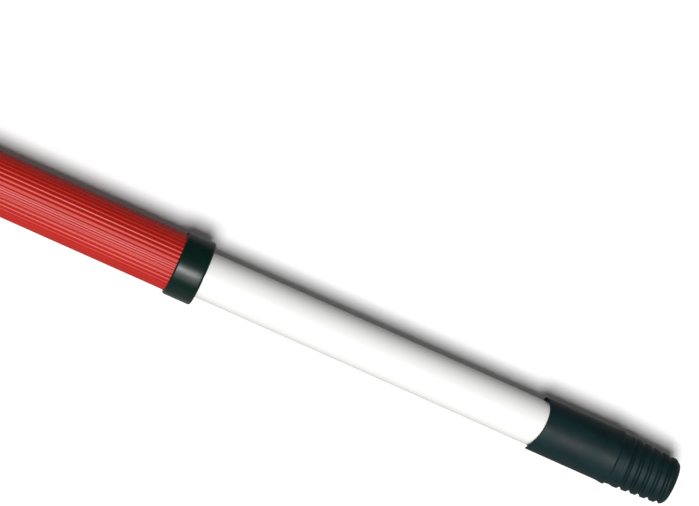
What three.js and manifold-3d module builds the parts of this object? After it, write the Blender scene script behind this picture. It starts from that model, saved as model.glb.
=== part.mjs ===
// Telescopic extension pole for paint rollers, lying along +X.
// The origin is the middle of the handle's flat butt face, +X runs towards the threaded tip,
// and +Z is square to the flat of the handle that the hanging slot opens in.
// All sizes are in millimetres and all angles in radians.
import * as THREE from "three";
import { ParametricGeometry } from "three/addons/geometries/ParametricGeometry.js";
import { mergeVertices } from "three/addons/utils/BufferGeometryUtils.js";
import Module from "manifold-3d";

const wasm = await Module();
wasm.setup();

// Clearances
const FIT_GAP = 0.3; // between two faces that butt against each other
const PRESS_GAP = 0.2; // round a piece that is pressed or screwed in
const SLIDE_GAP = 0.25; // round a piece that slides
const TELESCOPE_GAP = 1.1; // between the inner tube and the bore of the outer tube

// Tubes
const INNER_TUBE_DIAMETER = 22;
const TUBE_WALL = 0.6;
const OUTER_TUBE_LENGTH = 533.5;
const INNER_TUBE_LENGTH = 479;
const REST_EXTENSION = 167; // bare inner tube between the collar and the tip

// Ribbed plastic cover of the outer tube
const COVER_SKIN = 0.7;
const RIB_HEIGHT = 0.25;
const RIB_COUNT = 40;
const RIB_CREST_SHARE = 0.42; // of one rib's pitch
const COVER_IN_GRIP = 11;
const COVER_IN_COLLAR = 5.5;

// Handle grip
const GRIP_LENGTH = 100;
const GRIP_MOUTH_WALL = 1.3; // at the middle of a flat, over the cover
const GRIP_CORNER_RADIUS = 1.6;
const GRIP_MOUTH_SCOOP = { along: 41, across: 41 }; // half axes of the curve of the mouth
const GRIP_WEB = 3.1; // between the hanging slot and the tube
const BUTT_FLAT_RADIUS = 8.5;
const BUTT_DOME_DEPTH = 5.5;
const SLOT_END_WALL = 4;
const SLOT_LENGTH = 14.6;
const SLOT_WIDTH = 17;
const SLOT_CORNER_RADIUS = 3;
const SLOT_LEDGE_LENGTH = 6.5; // closed part of the slot's lower mouth
const SLOT_LEDGE_HEIGHT = 6.5;

// Grip screws, driven through the top flat
const SCREW_SHANK_RADIUS = 0.9;
const SCREW_HEAD_RADIUS = 1.35;
const SCREW_HEAD_HEIGHT = 1.2;
const SCREW_HEAD_SINK = 0.5; // of the head's top below the flat
const SCREW_LENGTH = 4.3; // under the head
const FRONT_SCREW_FROM_MOUTH = 14.4;
const REAR_SCREW_FROM_TUBE_END = 6;

// Plug in the butt end of the outer tube
const END_PLUG_LENGTH = 14;
const END_PLUG_WALL = 3;
const END_PLUG_FLOOR = 2.5;

// Collar and guide bush at the mouth of the outer tube
const COLLAR_LENGTH = 13.8;
const COLLAR_WALL = 1.25; // over the cover
const COLLAR_LIP = 2.5;
const COLLAR_EDGE_RADIUS = 0.9;
const BUSH_LENGTH = 27.5;
const BUSH_FLANGE = 1.4;

// Threaded tip
const TIP_WALL = 1.6;
const TIP_SLEEVE_LENGTH = 40.3;
const TIP_MOUTH_SCOOP_LENGTH = 5.5; // half axis of the mouth's curve along the pole
const TIP_MOUTH_SCOOP_MARGIN = 1; // of its half axis across the pole, over the sleeve's radius
const TIP_FLARE = 0.5; // radius gained towards the end of the sleeve
const TIP_FLARE_LENGTH = 4;
const TIP_EDGE_RADIUS = 0.7;
const TUBE_IN_TIP = 38;
const TIP_HOLLOW_WALL = 3.2; // under the roots of the thread
const TIP_NOSE_WALL = 5;
const THREAD_LENGTH = 29.7;
const THREAD_PITCH = 4.6;
const THREAD_DEPTH = 0.95;
const THREAD_TAPER = 1.8; // lost by the crest radius over the thread's length
const THREAD_CREST_SHARE = 0.45; // of one pitch
const THREAD_FLANK_SHARE = 0.22; // of one pitch, on each side of the crest
const THREAD_PHASE = 0.6; // from the start of the core to a groove's middle, on the +Y side
const RELIEF_DEPTH = 0.45; // of the plain band between the sleeve and the thread
const RELIEF_FULL_LENGTH = 2.5;
const RELIEF_LENGTH = 4.7;
const NOSE_ROUNDING = 3.5;

// Rivet through the underside of the tip
const RIVET_FROM_MOUTH = 21;
const RIVET_SHANK_RADIUS = 1.5;
const RIVET_HEAD_RADIUS = 2.4;
const RIVET_HEAD_HEIGHT = 0.8;
const RIVET_BITE = 1.2; // inside the inner tube

// Twist lock at the tail of the inner tube
const GUIDE_RING_LENGTH = 6;
const DRAG_RING_THICKNESS = 0.9;
const DRAG_RING_GAP = 0.15; // to the outer tube, and to the floor of its groove
const PLUG_DEPTH = 25; // inside the inner tube
const PLUG_WALL = 3.2;
const PLUG_FLOOR = 4;
const FLANGE_THICKNESS = 2.7;
const FLANGE_GAP = 0.5; // between the flange and the outer tube
const CAM_LENGTH = 13.5;
const CAM_CLEARANCE = 1; // round the cam in the outer tube while unlocked
const CAM_SLIT_WIDTH = 1.5;
const SPINDLE_RADIUS = 5.5;
const SPINDLE_ECCENTRICITY = 1.5;
const SPINDLE_IN_PLUG = 9;
const THRUST_WASHER_RADIUS = 9;
const THRUST_WASHER_THICKNESS = 0.8;
const CROSS_PIN_RADIUS = 1.5;
const CROSS_PIN_FROM_TAIL = 14;
const CROSS_PIN_SINK = 0.15; // of each pin end below the inner tube's surface
const LOCK_WASHER_RADIUS = 8.5;
const LOCK_WASHER_THICKNESS = 1.2;
const LOCK_SCREW_SHANK_RADIUS = 1.6;
const LOCK_SCREW_HEAD_RADIUS = 3.6;
const LOCK_SCREW_HEAD_HEIGHT = 2.2;
const LOCK_SCREW_LENGTH = 12; // under the head

// Facets
const ROUND_SEGMENTS = 40;
const SMALL_SEGMENTS = 16;
const ARC_STEPS = 3;
const THREAD_SEGMENTS = 32;
const THREAD_ROWS_PER_PITCH = 9;
const SCOOP_SEGMENTS = 72;

// Radii that follow from the driving sizes, from the inside outwards
const innerTubeRadius = INNER_TUBE_DIAMETER / 2;
const innerBoreRadius = innerTubeRadius - TUBE_WALL;
const outerBoreRadius = innerTubeRadius + TELESCOPE_GAP;
const outerTubeRadius = outerBoreRadius + TUBE_WALL;
const coverBoreRadius = outerTubeRadius + SLIDE_GAP;
const ribRootRadius = coverBoreRadius + COVER_SKIN;
const ribCrestRadius = ribRootRadius + RIB_HEIGHT;
const collarRadius = ribCrestRadius + SLIDE_GAP + COLLAR_WALL;
const gripHalfFlats = ribCrestRadius + FIT_GAP + GRIP_MOUTH_WALL;
const tubeSeatRadius = outerTubeRadius + PRESS_GAP;
const tipSleeveRadius = innerTubeRadius + PRESS_GAP + TIP_WALL;
const tipFlareRadius = tipSleeveRadius + TIP_FLARE;
const plugRadius = innerBoreRadius - PRESS_GAP;
const camRadius = outerBoreRadius - CAM_CLEARANCE;

// Stations along the pole
const slotEnd = SLOT_END_WALL + SLOT_LENGTH;
const outerTubeStart = slotEnd + GRIP_WEB + FIT_GAP;
const outerTubeMouth = outerTubeStart + OUTER_TUBE_LENGTH;
const collarMouth = outerTubeMouth + FIT_GAP + BUSH_FLANGE + FIT_GAP + COLLAR_LIP;
const collarStart = collarMouth - COLLAR_LENGTH;
const coverStart = GRIP_LENGTH - COVER_IN_GRIP;
const coverEnd = collarStart + COVER_IN_COLLAR;
const tipMouth = collarMouth + REST_EXTENSION;
const innerTubeTail = tipMouth + TUBE_IN_TIP - INNER_TUBE_LENGTH;
const gripScrewStations = {
  front: GRIP_LENGTH - FRONT_SCREW_FROM_MOUTH,
  rear: outerTubeStart + REAR_SCREW_FROM_TUBE_END,
};
const screwHeadTop = gripHalfFlats - SCREW_HEAD_SINK;
const screwSeat = screwHeadTop - SCREW_HEAD_HEIGHT;

const finish = (color, roughness, metalness) =>
  new THREE.MeshStandardMaterial({ color, roughness, metalness });
const materials = {
  redCover: finish(0xc4211c, 0.32, 0),
  blackGrip: finish(0x14201f, 0.5, 0),
  blackCollar: finish(0x111516, 0.25, 0),
  blackTip: finish(0x101819, 0.55, 0),
  whitePaint: finish(0xf2f2f0, 0.22, 0),
  bareSteel: finish(0xa9abad, 0.35, 1),
  zincSteel: finish(0xb9bcc0, 0.4, 1),
  greyNylon: finish(0xb9b8b0, 0.5, 0),
  naturalNylon: finish(0xe4e0d3, 0.5, 0),
  blackRubber: finish(0x1c1c1c, 0.8, 0),
};

// Turns built about Y, or extruded along Z, are laid along +X with these.
const LATHE_TO_X = new THREE.Matrix4().makeBasis(
  new THREE.Vector3(0, 0, 1),
  new THREE.Vector3(1, 0, 0),
  new THREE.Vector3(0, 1, 0),
);
const DEPTH_TO_X = new THREE.Matrix4().makeBasis(
  new THREE.Vector3(0, 1, 0),
  new THREE.Vector3(0, 0, 1),
  new THREE.Vector3(1, 0, 0),
);

// A solid of revolution about +X. The outline's [x, radius] points run towards +X outside
// and back inside, or from the axis to the axis.
function turned(outline, segments = ROUND_SEGMENTS) {
  const points = outline.map(([x, radius]) => new THREE.Vector2(radius, x));
  if (points[0].x > 0) points.push(points[0].clone());
  return new THREE.LatheGeometry(points, segments).applyMatrix4(LATHE_TO_X);
}

// Points of a circular arc in an outline, from one angle to the other, measured from +X.
function arc(x, radius, bend, from, to, steps = ARC_STEPS) {
  const points = [];
  for (let i = 0; i <= steps; i++) {
    const angle = from + ((to - from) * i) / steps;
    points.push([x + bend * Math.cos(angle), radius + bend * Math.sin(angle)]);
  }
  return points;
}

const pipe = (from, to, outer, inner) =>
  turned([[from, inner], [from, outer], [to, outer], [to, inner]]);
const rod = (from, to, radius, segments = ROUND_SEGMENTS) =>
  turned([[from, 0], [from, radius], [to, radius], [to, 0]], segments);
const rodAlongZ = (x, from, to, radius, segments = SMALL_SEGMENTS) =>
  rod(from, to, radius, segments).rotateY(-Math.PI / 2).translate(x, 0, 0);
const rodAlongY = (x, from, to, radius, segments = SMALL_SEGMENTS) =>
  rod(from, to, radius, segments).rotateZ(Math.PI / 2).translate(x, 0, 0);

const extrudedAlongX = (shape, from, to) =>
  new THREE.ExtrudeGeometry(shape, {
    depth: to - from,
    bevelEnabled: false,
    curveSegments: ARC_STEPS,
  }).applyMatrix4(DEPTH_TO_X).translate(from, 0, 0);

// Joins and cuts work on closed solids.
function solid(geometry) {
  const bare = geometry.clone();
  bare.deleteAttribute("normal");
  bare.deleteAttribute("uv");
  const merged = mergeVertices(bare, 1e-4);
  const mesh = new wasm.Mesh({
    numProp: 3,
    vertProperties: merged.attributes.position.array,
    triVerts: new Uint32Array(merged.index.array),
  });
  return new wasm.Manifold(mesh);
}

function geometryOf(body) {
  const mesh = body.getMesh();
  const indexed = new THREE.BufferGeometry();
  indexed.setAttribute("position", new THREE.BufferAttribute(mesh.vertProperties.slice(), 3));
  indexed.setIndex(new THREE.BufferAttribute(mesh.triVerts.slice(), 1));
  const geometry = indexed.toNonIndexed();
  geometry.computeVertexNormals();
  return geometry;
}

const cut = (geometry, ...tools) =>
  geometryOf(tools.reduce((body, tool) => body.subtract(solid(tool)), solid(geometry)));

// A large elliptical cylinder across the pole, whose side scoops a mouth. Its axis is along
// Z and its side meets the two flanks of the mouth at the mouth's own station.
function mouthScoop(mouth, towards, halfWidth, { along, across }) {
  const depth = along * (1 - Math.sqrt(1 - (halfWidth / across) ** 2));
  const roller = rodAlongZ(0, -2 * halfWidth, 2 * halfWidth, across, SCOOP_SEGMENTS);
  return roller.scale(along / across, 1, 1).translate(mouth + towards * (along - depth), 0, 0);
}

function outerTube() {
  const tube = pipe(outerTubeStart, outerTubeMouth, outerTubeRadius, outerBoreRadius);
  const holes = Object.values(gripScrewStations).map((station) =>
    rodAlongZ(station, 0, screwSeat, SCREW_SHANK_RADIUS + PRESS_GAP),
  );
  return cut(tube, ...holes);
}

// One trapezoid rib to each pitch, with equal flanks between crest and root.
function ribbedCover() {
  const points = [];
  const pitch = (2 * Math.PI) / RIB_COUNT;
  const halfCrest = (pitch * RIB_CREST_SHARE) / 2;
  const halfRoot = (pitch * (1 - RIB_CREST_SHARE)) / 4;
  const corners = [
    [-halfCrest, ribCrestRadius],
    [halfCrest, ribCrestRadius],
    [pitch / 2 - halfRoot, ribRootRadius],
    [pitch / 2 + halfRoot, ribRootRadius],
  ];
  for (let rib = 0; rib < RIB_COUNT; rib++)
    for (const [offset, radius] of corners) {
      const angle = rib * pitch + offset;
      points.push(new THREE.Vector2(radius * Math.cos(angle), radius * Math.sin(angle)));
    }
  const shape = new THREE.Shape(points);
  const sleeve = extrudedAlongX(shape, coverStart, coverEnd);
  return cut(sleeve, rod(coverStart - 1, coverEnd + 1, coverBoreRadius));
}

function roundedOctagon(halfFlats, cornerRadius) {
  const shape = new THREE.Shape();
  const centreDistance = (halfFlats - cornerRadius) / Math.cos(Math.PI / 8);
  for (let corner = 0; corner < 8; corner++) {
    const angle = ((corner + 0.5) * Math.PI) / 4;
    shape.absarc(
      centreDistance * Math.cos(angle),
      centreDistance * Math.sin(angle),
      cornerRadius,
      angle - Math.PI / 8,
      angle + Math.PI / 8,
      false,
    );
  }
  return shape;
}

// A prism along Z with rounded corners, for the mouths of the hanging slot.
function slotPrism(from, to, bottom, top) {
  const half = SLOT_WIDTH / 2;
  const r = SLOT_CORNER_RADIUS;
  const shape = new THREE.Shape();
  shape.absarc(to - r, half - r, r, 0, Math.PI / 2, false);
  shape.absarc(from + r, half - r, r, Math.PI / 2, Math.PI, false);
  shape.absarc(from + r, r - half, r, Math.PI, 1.5 * Math.PI, false);
  shape.absarc(to - r, r - half, r, 1.5 * Math.PI, 2 * Math.PI, false);
  const options = { depth: top - bottom, bevelEnabled: false, curveSegments: ARC_STEPS };
  return new THREE.ExtrudeGeometry(shape, options).translate(0, 0, bottom);
}

// Octagonal moulding: domed butt, hanging slot, seat for the tube, wider seat for the cover
// and a scooped mouth.
function handleGrip() {
  const past = 2 * gripHalfFlats;
  const cornerRadius = gripHalfFlats / Math.cos(Math.PI / 8);
  const prism = extrudedAlongX(roundedOctagon(gripHalfFlats, GRIP_CORNER_RADIUS), 0, GRIP_LENGTH);
  const domeSteps = 6;
  const dome = [[0, 0]];
  for (let i = 0; i <= domeSteps; i++) {
    const angle = (i * Math.PI) / 2 / domeSteps;
    const x = BUTT_DOME_DEPTH * (1 - Math.cos(angle));
    dome.push([x, BUTT_FLAT_RADIUS + (cornerRadius - BUTT_FLAT_RADIUS) * Math.sin(angle)]);
  }
  dome.push([BUTT_DOME_DEPTH, past], [GRIP_LENGTH + 1, past], [GRIP_LENGTH + 1, 0]);
  const body = geometryOf(solid(prism).intersect(solid(turned(dome))));
  const screwHoles = Object.values(gripScrewStations).flatMap((station) => [
    rodAlongZ(station, screwSeat - PRESS_GAP, past, SCREW_HEAD_RADIUS + PRESS_GAP),
    rodAlongZ(station, 0, past, SCREW_SHANK_RADIUS + PRESS_GAP),
  ]);
  return cut(
    body,
    mouthScoop(GRIP_LENGTH, 1, gripHalfFlats, GRIP_MOUTH_SCOOP),
    rod(outerTubeStart - FIT_GAP, GRIP_LENGTH + 1, tubeSeatRadius),
    rod(coverStart - FIT_GAP, GRIP_LENGTH + 1, ribCrestRadius + FIT_GAP),
    slotPrism(SLOT_END_WALL, slotEnd, SLOT_LEDGE_HEIGHT - gripHalfFlats, past),
    slotPrism(SLOT_END_WALL + SLOT_LEDGE_LENGTH, slotEnd, -past, past),
    ...screwHoles,
  );
}

// Round-headed screw along Z with a cross recess, its head's top at the origin.
function screwAlongZ(headRadius, headHeight, shankRadius, length) {
  const recess = { width: headRadius / 3, depth: headHeight / 2 };
  const crown = headHeight / 3;
  const outline = [
    [-headHeight - length, 0],
    [-headHeight - length + shankRadius, shankRadius],
    [-headHeight, shankRadius],
    [-headHeight, headRadius],
    [-crown, headRadius],
    [0, headRadius * 0.7],
    [0, 0],
  ];
  const body = turned(outline, SMALL_SEGMENTS).rotateY(-Math.PI / 2);
  const bar = new THREE.BoxGeometry(headRadius, recess.width, 2 * recess.depth);
  return cut(body, bar, bar.clone().rotateZ(Math.PI / 2));
}

function tubeEndPlug() {
  const radius = outerBoreRadius - PRESS_GAP;
  const inner = radius - END_PLUG_WALL;
  const outline = [
    [0, 0],
    [0, radius - 0.5],
    [0.5, radius],
    [END_PLUG_LENGTH, radius],
    [END_PLUG_LENGTH, inner],
    [END_PLUG_FLOOR, inner],
    [END_PLUG_FLOOR, 0],
  ];
  const pilot = rodAlongZ(
    gripScrewStations.rear - outerTubeStart,
    0,
    gripHalfFlats,
    SCREW_SHANK_RADIUS + PRESS_GAP,
  );
  return cut(turned(outline), pilot);
}

// Ring with rounded outer edges. Inside it steps down from the cover to the tube and then to
// the lip that holds the bush.
function collar() {
  const edge = COLLAR_EDGE_RADIUS;
  const coverSeat = ribCrestRadius + SLIDE_GAP;
  const lipRadius = innerTubeRadius + 2 * SLIDE_GAP;
  const step = COVER_IN_COLLAR + FIT_GAP;
  const lip = COLLAR_LENGTH - COLLAR_LIP;
  return turned([
    [0, coverSeat],
    ...arc(edge, collarRadius - edge, edge, Math.PI, Math.PI / 2),
    ...arc(COLLAR_LENGTH - edge, collarRadius - edge, edge, Math.PI / 2, 0),
    [COLLAR_LENGTH, lipRadius + edge / 2],
    [COLLAR_LENGTH - edge / 2, lipRadius],
    [lip, lipRadius],
    [lip, tubeSeatRadius],
    [step, tubeSeatRadius],
    [step, coverSeat],
  ]);
}

function guideBush() {
  const bore = innerTubeRadius + SLIDE_GAP;
  const sleeve = outerBoreRadius - PRESS_GAP;
  return turned([
    [-BUSH_LENGTH, bore],
    [-BUSH_LENGTH, sleeve],
    [FIT_GAP, sleeve],
    [FIT_GAP, outerTubeRadius],
    [FIT_GAP + BUSH_FLANGE, outerTubeRadius],
    [FIT_GAP + BUSH_FLANGE, bore],
  ]);
}

function innerTube() {
  const tube = pipe(0, INNER_TUBE_LENGTH, innerTubeRadius, innerBoreRadius);
  const rivetStation = INNER_TUBE_LENGTH - TUBE_IN_TIP + RIVET_FROM_MOUTH;
  return cut(
    tube,
    rodAlongZ(rivetStation, -2 * innerTubeRadius, 0, RIVET_SHANK_RADIUS + PRESS_GAP),
    rodAlongY(
      CROSS_PIN_FROM_TAIL,
      -2 * innerTubeRadius,
      2 * innerTubeRadius,
      CROSS_PIN_RADIUS + PRESS_GAP,
    ),
  );
}

// Height of the thread above its root, from 0 to 1, at a share of the pitch.
function threadProfile(share) {
  const fromCrest = Math.abs(share - Math.floor(share) - 0.5) - THREAD_CREST_SHARE / 2;
  return THREE.MathUtils.clamp(1 - fromCrest / THREAD_FLANK_SHARE, 0, 1);
}

// Radius of the right-handed, slightly conical thread at a distance from its start. The
// groove begins past the relief, over half a pitch, and runs out in the rounded nose.
function threadRadius(distance, angle) {
  const { smoothstep } = THREE.MathUtils;
  const crest = tipSleeveRadius - (THREAD_TAPER * distance) / THREAD_LENGTH;
  const relief = RELIEF_DEPTH * (1 - smoothstep(distance, RELIEF_FULL_LENGTH, RELIEF_LENGTH));
  const share = (distance - THREAD_PHASE) / THREAD_PITCH - angle / (2 * Math.PI);
  const start = smoothstep(distance - RELIEF_LENGTH, 0, THREAD_PITCH / 2);
  const end = smoothstep(THREAD_LENGTH - distance, 0, NOSE_ROUNDING);
  const groove = THREAD_DEPTH * (1 - threadProfile(share)) * start * end;
  const intoNose = Math.max(0, distance - (THREAD_LENGTH - NOSE_ROUNDING));
  const rounding = NOSE_ROUNDING - Math.sqrt(NOSE_ROUNDING ** 2 - intoNose ** 2);
  return crest - relief - groove - rounding;
}

// The whole threaded core as one closed surface: its first and last rows close on the axis.
function threadCore() {
  const rows = Math.round((THREAD_LENGTH / THREAD_PITCH) * THREAD_ROWS_PER_PITCH);
  const root = TIP_WALL; // buried in the sleeve
  const surface = (u, v, target) => {
    const row = Math.round(v * (rows + 3));
    const distance = (THREAD_LENGTH * THREE.MathUtils.clamp(row - 2, 0, rows)) / rows;
    const angle = (Math.round(u * THREAD_SEGMENTS) % THREAD_SEGMENTS) * ((2 * Math.PI) / THREAD_SEGMENTS);
    const closed = row === 0 || row === rows + 3;
    const radius = closed ? 0 : threadRadius(distance, angle);
    const x = row < 2 ? -root : distance;
    target.set(x, radius * Math.cos(angle), radius * Math.sin(angle));
  };
  return new ParametricGeometry(surface, THREAD_SEGMENTS, rows + 3);
}

function threadedTip() {
  const rootAtNose = tipSleeveRadius - THREAD_TAPER - THREAD_DEPTH;
  const seat = TUBE_IN_TIP + FIT_GAP;
  const shoulder = TIP_SLEEVE_LENGTH;
  const length = shoulder + THREAD_LENGTH;
  const edge = TIP_EDGE_RADIUS;
  const mouthCurve = {
    along: TIP_MOUTH_SCOOP_LENGTH,
    across: tipSleeveRadius + TIP_MOUTH_SCOOP_MARGIN,
  };
  const sleeve = turned([
    [0, 0],
    [0, tipSleeveRadius],
    [shoulder - TIP_FLARE_LENGTH, tipSleeveRadius],
    ...arc(shoulder - edge, tipFlareRadius - edge, edge, Math.PI / 2, 0, 2),
    [shoulder, 0],
  ]);
  const thread = threadCore().translate(shoulder, 0, 0);
  const body = geometryOf(solid(sleeve).add(solid(thread)));
  const rivetHole = rodAlongZ(
    RIVET_FROM_MOUTH,
    -2 * tipSleeveRadius,
    0,
    RIVET_SHANK_RADIUS + PRESS_GAP,
  );
  return cut(
    body,
    rod(-1, seat, innerTubeRadius + PRESS_GAP),
    rod(seat - 1, length - TIP_NOSE_WALL, rootAtNose - TIP_HOLLOW_WALL),
    mouthScoop(0, -1, tipSleeveRadius, mouthCurve),
    rivetHole,
  );
}

// Rivet along Z, driven from below: its domed head is outside the tip's sleeve.
function tipRivet() {
  const headTop = -(tipSleeveRadius + FIT_GAP);
  const outline = [
    [headTop - RIVET_HEAD_HEIGHT, 0],
    [headTop - RIVET_HEAD_HEIGHT, RIVET_HEAD_RADIUS * 0.5],
    [headTop - RIVET_HEAD_HEIGHT * 0.6, RIVET_HEAD_RADIUS * 0.85],
    [headTop, RIVET_HEAD_RADIUS],
    [headTop, RIVET_SHANK_RADIUS],
    [RIVET_BITE - innerTubeRadius + TUBE_WALL, RIVET_SHANK_RADIUS],
    [RIVET_BITE - innerTubeRadius + TUBE_WALL, 0],
  ];
  return turned(outline, SMALL_SEGMENTS).rotateY(-Math.PI / 2);
}

// The twist lock's pieces are placed from the tail of the inner tube, rearwards.
const ringFront = -FIT_GAP;
const flangeFront = ringFront - GUIDE_RING_LENGTH - FIT_GAP;
const flangeRear = flangeFront - FLANGE_THICKNESS;
const thrustWasherFront = flangeRear - FIT_GAP;
const camFront = thrustWasherFront - THRUST_WASHER_THICKNESS - FIT_GAP;
const spindleRear = camFront - CAM_LENGTH - FIT_GAP;
const washerRear = spindleRear - FIT_GAP - LOCK_WASHER_THICKNESS;
const lockScrewSeat = washerRear - FIT_GAP;

// Ring that slides in the outer tube, with a groove for the drag ring round its middle.
function guideRing() {
  const sleeve = outerBoreRadius - PRESS_GAP;
  const grooveFloor = outerBoreRadius - 2 * DRAG_RING_GAP - DRAG_RING_THICKNESS;
  const middle = ringFront - GUIDE_RING_LENGTH / 2;
  const halfGroove = DRAG_RING_THICKNESS / 2 + DRAG_RING_GAP;
  return turned([
    [ringFront - GUIDE_RING_LENGTH, plugRadius + PRESS_GAP],
    [ringFront - GUIDE_RING_LENGTH, sleeve],
    [middle - halfGroove, sleeve],
    [middle - halfGroove, grooveFloor],
    [middle + halfGroove, grooveFloor],
    [middle + halfGroove, sleeve],
    [ringFront, sleeve],
    [ringFront, plugRadius + PRESS_GAP],
  ]);
}

// Rubber ring in the groove. It rubs on the outer tube, so the guide ring does not turn.
function dragRing() {
  const wire = DRAG_RING_THICKNESS / 2;
  const middle = ringFront - GUIDE_RING_LENGTH / 2;
  const section = arc(middle, outerBoreRadius - DRAG_RING_GAP - wire, wire, Math.PI, -Math.PI, 8);
  return turned(section.slice(0, -1));
}

// Nylon plug in the tail of the inner tube, with a flange and an off-centre seat.
function lockPlug() {
  const hollow = plugRadius - PLUG_WALL;
  const flange = outerBoreRadius - FLANGE_GAP;
  const body = turned([
    [flangeRear, 0],
    [flangeRear, flange],
    [flangeFront, flange],
    [flangeFront, plugRadius],
    [PLUG_DEPTH, plugRadius],
    [PLUG_DEPTH, hollow],
    [PLUG_FLOOR, hollow],
    [PLUG_FLOOR, 0],
  ]);
  const seat = rod(
    flangeRear - 1,
    flangeRear + SPINDLE_IN_PLUG + FIT_GAP,
    SPINDLE_RADIUS + PRESS_GAP,
  );
  const pinHole = rodAlongY(
    CROSS_PIN_FROM_TAIL,
    -2 * plugRadius,
    2 * plugRadius,
    CROSS_PIN_RADIUS + PRESS_GAP,
  );
  return cut(body, seat.translate(0, 0, -SPINDLE_ECCENTRICITY), pinHole);
}

// Stub that the cam turns on, with a pilot hole for the lock screw. It and the pieces on it
// are placed on their own axis.
function lockSpindle() {
  const pilot = rod(
    spindleRear - 1,
    lockScrewSeat + LOCK_SCREW_LENGTH + FIT_GAP,
    LOCK_SCREW_SHANK_RADIUS + PRESS_GAP,
    SMALL_SEGMENTS,
  );
  return cut(rod(spindleRear, flangeRear + SPINDLE_IN_PLUG, SPINDLE_RADIUS), pilot);
}

const thrustWasher = () =>
  pipe(
    thrustWasherFront - THRUST_WASHER_THICKNESS,
    thrustWasherFront,
    THRUST_WASHER_RADIUS,
    SPINDLE_RADIUS + PRESS_GAP,
  );

const crossPin = () =>
  rodAlongY(
    CROSS_PIN_FROM_TAIL,
    CROSS_PIN_SINK - innerTubeRadius,
    innerTubeRadius - CROSS_PIN_SINK,
    CROSS_PIN_RADIUS,
  );

// Ring whose bore is off centre by the spindle's eccentricity, slit on its thin side.
function lockCam() {
  const bore = rod(camFront - CAM_LENGTH - 1, camFront + 1, SPINDLE_RADIUS + PRESS_GAP);
  bore.translate(0, 0, -SPINDLE_ECCENTRICITY);
  const slit = new THREE.BoxGeometry(CAM_LENGTH + 2, CAM_SLIT_WIDTH, camRadius);
  slit.translate(camFront - CAM_LENGTH / 2, 0, -SPINDLE_ECCENTRICITY - camRadius / 2);
  return cut(rod(camFront - CAM_LENGTH, camFront, camRadius), bore, slit);
}

const lockWasher = () =>
  pipe(
    washerRear,
    washerRear + LOCK_WASHER_THICKNESS,
    LOCK_WASHER_RADIUS,
    LOCK_SCREW_SHANK_RADIUS + PRESS_GAP,
  );

// Screw with a cross recess, driven forwards into the spindle.
function lockScrew() {
  const screw = screwAlongZ(
    LOCK_SCREW_HEAD_RADIUS,
    LOCK_SCREW_HEAD_HEIGHT,
    LOCK_SCREW_SHANK_RADIUS,
    LOCK_SCREW_LENGTH,
  );
  return screw.rotateY(-Math.PI / 2).translate(lockScrewSeat - LOCK_SCREW_HEAD_HEIGHT, 0, 0);
}

function place(group, name, geometry, material, ...position) {
  const mesh = new THREE.Mesh(geometry, material);
  mesh.name = name;
  mesh.position.set(...position);
  group.add(mesh);
}

function outerSection() {
  const group = new THREE.Group();
  place(group, "outer_tube", outerTube(), materials.bareSteel, 0, 0, 0);
  place(group, "ribbed_cover", ribbedCover(), materials.redCover, 0, 0, 0);
  place(group, "handle_grip", handleGrip(), materials.blackGrip, 0, 0, 0);
  for (const [end, station] of Object.entries(gripScrewStations)) {
    const screw = screwAlongZ(
      SCREW_HEAD_RADIUS,
      SCREW_HEAD_HEIGHT,
      SCREW_SHANK_RADIUS,
      SCREW_LENGTH,
    );
    place(group, `grip_screw_${end}`, screw, materials.zincSteel, station, 0, screwHeadTop);
  }
  place(group, "tube_end_plug", tubeEndPlug(), materials.greyNylon, outerTubeStart, 0, 0);
  place(group, "collar", collar(), materials.blackCollar, collarStart, 0, 0);
  place(group, "guide_bush", guideBush(), materials.naturalNylon, outerTubeMouth, 0, 0);
  return group;
}

function innerSection() {
  const group = new THREE.Group();
  const tip = INNER_TUBE_LENGTH - TUBE_IN_TIP;
  place(group, "inner_tube", innerTube(), materials.whitePaint, 0, 0, 0);
  place(group, "threaded_tip", threadedTip(), materials.blackTip, tip, 0, 0);
  place(group, "tip_rivet", tipRivet(), materials.zincSteel, tip + RIVET_FROM_MOUTH, 0, 0);
  place(group, "lock_plug", lockPlug(), materials.greyNylon, 0, 0, 0);
  place(group, "lock_cross_pin", crossPin(), materials.zincSteel, 0, 0, 0);
  place(group, "guide_ring", guideRing(), materials.naturalNylon, 0, 0, 0);
  place(group, "drag_ring", dragRing(), materials.blackRubber, 0, 0, 0);
  place(group, "lock_cam", lockCam(), materials.naturalNylon, 0, 0, 0);
  const onSpindle = [0, 0, -SPINDLE_ECCENTRICITY];
  place(group, "lock_spindle", lockSpindle(), materials.zincSteel, ...onSpindle);
  place(group, "thrust_washer", thrustWasher(), materials.zincSteel, ...onSpindle);
  place(group, "lock_washer", lockWasher(), materials.zincSteel, ...onSpindle);
  place(group, "lock_screw", lockScrew(), materials.zincSteel, ...onSpindle);
  group.position.x = innerTubeTail;
  return group;
}

const pole = new THREE.Group();
pole.name = "roller_extension_pole";
pole.add(outerSection(), innerSection());

export default pole;
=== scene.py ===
"""Fine surfaces, finishes and stage of a telescopic roller extension pole.

The pole lies along X with its butt at the origin. Lengths are metres. The handle, the ribbed
cover, the collar, the white inner tube and the threaded tip are made here around the frame.
"""

import math

import bmesh
import bpy
from bpy.props import FloatProperty, FloatVectorProperty, IntProperty, PointerProperty
from mathutils import Matrix, Vector


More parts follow.
